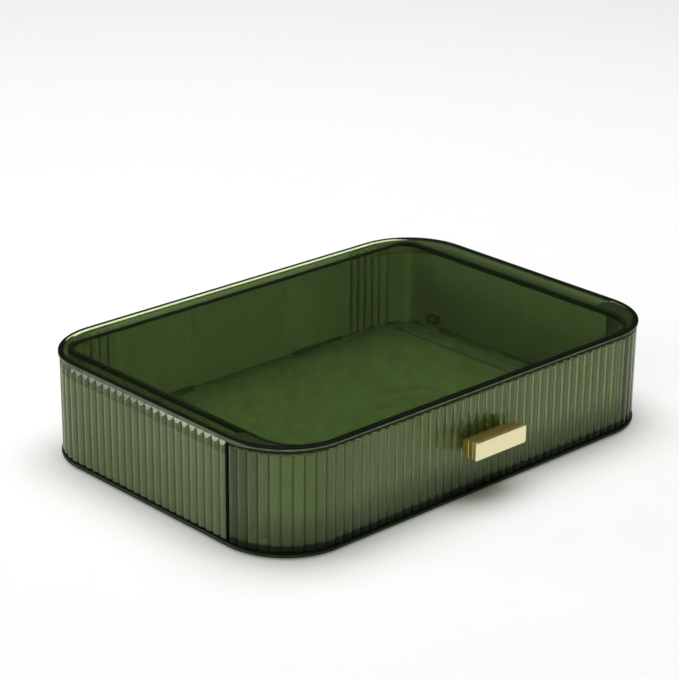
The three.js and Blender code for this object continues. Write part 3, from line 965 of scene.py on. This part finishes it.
lidPlastic = clearPlastic("lid_plastic", {
    **plasticLook,
    "tint": (0.97, 0.99, 0.92),
    "deep": (0.95, 0.98, 0.90),
    "depthTint": (0.52, 0.72, 0.22),
    "density": 150.0,
    # colour of the painted reflection stripe along the edge
    "pale": (0.21, 0.25, 0.17),
    "edgeWidth": 4 * mm,
    "backNarrower": 2.4 * mm,
    "edgeMiddle": (topLow.z + topHigh.z) / 2,
}, plateEdge)
trayPlastic = clearPlastic("tray_plastic", {
    **plasticLook,
    "tint": (0.80, 0.84, 0.73),
    "deep": (0.74, 0.78, 0.65),
    "clear": 0.97,
    "depthTint": (0.56, 0.60, 0.48),
    "density": 520.0,
}, trayRim)
drawerPlastic = clearPlastic("drawer_plastic", {
    **reededLook,
    "density": 250.0,
    # paler painted shade on the webs and lower front, and the darker painted shade in the reed valleys
    "pale": (0.05, 0.06, 0.035),
    "valley": (0.10, 0.15, 0.05),
    "seamShade": 0.8,
    "foot": 5 * mm,
}, frontEnds)
# pale bead colour; the bead also stands in as the painted highlight along the back rim
cement_highlight = satinSkin("cement_highlight", {
    "pale": (0.95, 0.86, 0.86),
    "deep": (0.72, 0.66, 0.62),
    "roughness": 0.45,
    "mottle": 0.3,
    "cloudScale": 160.0,
    "detail": 4.0,
    "relief": 0.3,
    "reliefHeight": 0.05 * mm,
})
silicone = satinSkin("foot_silicone", {
    "pale": (0.74, 0.77, 0.72),
    "deep": (0.62, 0.66, 0.60),
    "roughness": 0.42,
    "mottle": 0.2,
    "cloudScale": 300.0,
    "detail": 3.0,
    "relief": 0.2,
    "reliefHeight": 0.05 * mm,
})
brass = polishedMetal("handle_metal", {
    "colour": (0.88, 0.80, 0.50),
    "dull": (0.82, 0.73, 0.43),
    # painted shade colour for the metal behind the face plate
    "side": (0.72, 0.52, 0.16),
    "sideBlur": 0.2 * mm,
    "metallic": 0.85,
    "roughness": 0.1,
    "wear": 0.1,
    "wearScale": 220.0,
    "grain": 0.05,
    "grainScale": 900.0,
    "grainStretch": (0.08, 1, 1),
    "grainHeight": 0.02 * mm,
})
steel = polishedMetal("screw_steel", {
    "colour": (0.70, 0.70, 0.71),
    "dull": (0.58, 0.58, 0.60),
    "metallic": 1.0,
    "roughness": 0.18,
    "wear": 0.2,
    "wearScale": 500.0,
    "grain": 0.1,
    "grainScale": 1500.0,
    "grainStretch": (1, 1, 1),
    "grainHeight": 0.01 * mm,
})


def dress(piece, material, body, slot, *nodes):
    piece.data.materials.clear()
    piece.data.materials.append(material)
    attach(piece, body)
    if nodes:
        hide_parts(*nodes)


dress(makeTopPlate(), lidPlastic, "case", "case_plastic", "top_plate")
dress(makeCaseWall(), casePlastic, "case", "case_plastic", "case_wall")
dress(makeCementHighlight(), cement_highlight, "case", "case_plastic")
dress(makeBasePlate(), basePlastic, "case", "case_plastic", "base_plate")
print("case made")
dress(makeTray(), trayPlastic, "drawer", "drawer_plastic", "drawer_tray")
dress(makeDrawerFront(), drawerPlastic, "drawer", "drawer_plastic", "drawer_front")
dress(makeBar(), brass, "drawer", "handle_metal", "handle_bar")
print("drawer made")

keptNodes = [(["handle_base"], brass), (screwNodes + washerNodes, steel), (footNodes, silicone)]
for nodes, material in keptNodes:
    for node in nodes:
        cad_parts[node].data.materials.clear()
        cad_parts[node].data.materials.append(material)


# Floor, lights and camera

def makeFloor():
    look = {"size": 12, "pale": (0.90, 0.90, 0.90), "deep": (0.88, 0.88, 0.88), "grainScale": 40.0,
            "roughness": 0.9, "gloss": 0.1}
    bpy.ops.object.select_all(action="DESELECT")
    bpy.ops.mesh.primitive_plane_add(size=look["size"], location=(0, 0, 0))
    floor = settle("studio_floor")
    paint = Paint("studio_paper")
    matt = paint.node("ShaderNodeBsdfPrincipled", None, {
        "Base Color": paint.blend(paint.noise(look["grainScale"], 3.0), look["pale"], look["deep"]),
        "Roughness": look["roughness"],
        "Specular IOR Level": look["gloss"],
    })
    floor.data.materials.append(paint.finish(matt))


lamps = {
    "overhead": {"place": (0.2, 0.3, 2.4), "target": (0, 0, 0), "size": (2.6, 2.2), "power": 78},
    "left_fill": {"place": (-2.2, -1.2, 1.5), "target": (0, 0, 0), "size": (1.4, 1.4), "power": 12},
    "left_card": {"place": (-2.1, 1.9, 0.45), "target": (0, 0, 0.1), "size": (1.2, 0.8), "power": 22},
}


def addLamp(name, place, target, size, power):
    lamp = bpy.data.objects.new(name, bpy.data.lights.new(name, "AREA"))
    lamp.data.shape = "RECTANGLE"
    lamp.data.size, lamp.data.size_y = size
    lamp.data.energy = power
    lamp.location = place
    lamp.rotation_euler = (Vector(target) - Vector(place)).to_track_quat("-Z", "Y").to_euler()
    bpy.context.scene.collection.objects.link(lamp)


def makeWorld(colour, strength):
    world = bpy.data.worlds.new("studio")
    bpy.context.scene.world = world
    world.use_nodes = True
    background = world.node_tree.nodes["Background"]
    background.inputs["Color"].default_value = (*colour, 1)
    background.inputs["Strength"].default_value = strength


makeFloor()
for name, lamp in lamps.items():
    addLamp(name, **lamp)
makeWorld(colour=(0.02, 0.022, 0.018), strength=1.0)

photoView = {
    "azimuth": math.radians(-43.527),
    "elevation": math.radians(22.767),
    "roll": math.radians(0.732),
    "distance": 1300.3 * mm,
    "lens": 120.41,
    "sensor": 36,
    "shift": (-0.0206, 0.0608),
}


def makeCamera(view):
    turn, rise, roll = view["azimuth"], view["elevation"], view["roll"]
    back = Vector((math.sin(turn) * math.cos(rise), -math.cos(turn) * math.cos(rise), math.sin(rise)))
    side = Vector((math.cos(turn), math.sin(turn), 0))
    up = back.cross(side)
    across = side * math.cos(roll) + up * math.sin(roll)
    over = up * math.cos(roll) - side * math.sin(roll)
    target = Vector((0, (topLow.y + topHigh.y) / 2, (baseLow.z + topHigh.z) / 2))
    data = bpy.data.cameras.new("photo_view")
    data.lens = view["lens"]
    data.sensor_width = view["sensor"]
    data.shift_x, data.shift_y = view["shift"]
    camera = bpy.data.objects.new("photo_view", data)
    place = Matrix((across, over, back)).transposed().to_4x4()
    place.translation = target + back * view["distance"]
    camera.matrix_world = place
    bpy.context.scene.collection.objects.link(camera)
    bpy.context.scene.camera = camera


makeCamera(photoView)
bpy.context.scene.view_settings.view_transform = "Standard"
print("studio made")
